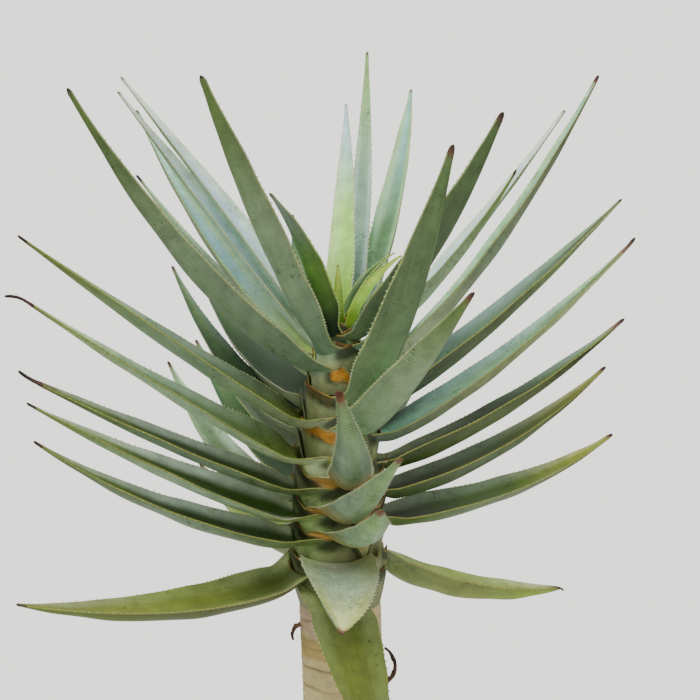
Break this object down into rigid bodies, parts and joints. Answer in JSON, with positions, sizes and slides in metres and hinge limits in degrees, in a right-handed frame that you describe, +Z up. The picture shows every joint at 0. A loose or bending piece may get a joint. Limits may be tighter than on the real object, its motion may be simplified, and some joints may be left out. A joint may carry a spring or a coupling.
{
  "type": "tree aloe",
  "caption": "Young tree aloe with one bare ringed stem, flared at its flat cut foot, and a crown of long channelled toothed leaves that fan up and out from its tip.",
  "frame": {"origin": "centre of the flat cut under the stem, at ground level", "axes": "+Z up along the stem; seen from -Y as in the picture, +X to the right"},
  "size_m": [0.5116, 0.5051, 0.9641],
  "materials": {
    "bark": "papery, ringed",
    "old_leaf": "waxy olive green",
    "grey_leaf": "waxy grey green",
    "pale_leaf": "waxy pale blue green",
    "young_leaf": "waxy fresh green",
    "dry_leaf": "dry and dull"
  },
  "bodies": {
    "root": {"trunk": "bark", "leaf_left_1": "old_leaf", "leaf_left_2": "old_leaf", "leaf_left_3": "old_leaf", "leaf_left_4": "old_leaf", "leaf_left_5": "grey_leaf", "leaf_left_6": "grey_leaf", "leaf_left_7": "grey_leaf", "leaf_left_8": "grey_leaf", "leaf_right_1": "old_leaf", "leaf_right_2": "old_leaf", "leaf_right_3": "old_leaf", "leaf_right_4": "grey_leaf", "leaf_right_5": "grey_leaf", "leaf_right_6": "pale_leaf", "leaf_right_7": "pale_leaf", "leaf_right_8": "pale_leaf", "leaf_right_9": "grey_leaf", "leaf_front_1": "old_leaf", "leaf_front_2": "pale_leaf", "leaf_front_3": "grey_leaf", "leaf_front_4": "grey_leaf", "leaf_front_5": "grey_leaf", "leaf_front_6": "grey_leaf", "leaf_front_7": "grey_leaf", "leaf_front_8": "grey_leaf", "leaf_back_1": "old_leaf", "leaf_back_2": "grey_leaf", "leaf_back_3": "grey_leaf", "leaf_back_4": "grey_leaf", "leaf_back_5": "pale_leaf", "leaf_back_6": "pale_leaf", "leaf_back_7": "grey_leaf", "leaf_back_8": "pale_leaf", "leaf_back_9": "pale_leaf", "leaf_back_10": "pale_leaf", "leaf_back_11": "pale_leaf", "leaf_back_12": "grey_leaf", "leaf_back_13": "grey_leaf", "leaf_centre_1": "pale_leaf", "leaf_centre_2": "young_leaf", "leaf_centre_3": "pale_leaf", "leaf_centre_4": "young_leaf", "leaf_centre_5": "young_leaf", "leaf_centre_6": "young_leaf", "leaf_centre_7": "young_leaf", "dry_scrap_right": "dry_leaf", "dry_scrap_left": "dry_leaf"}
  },
  "joints": []
}
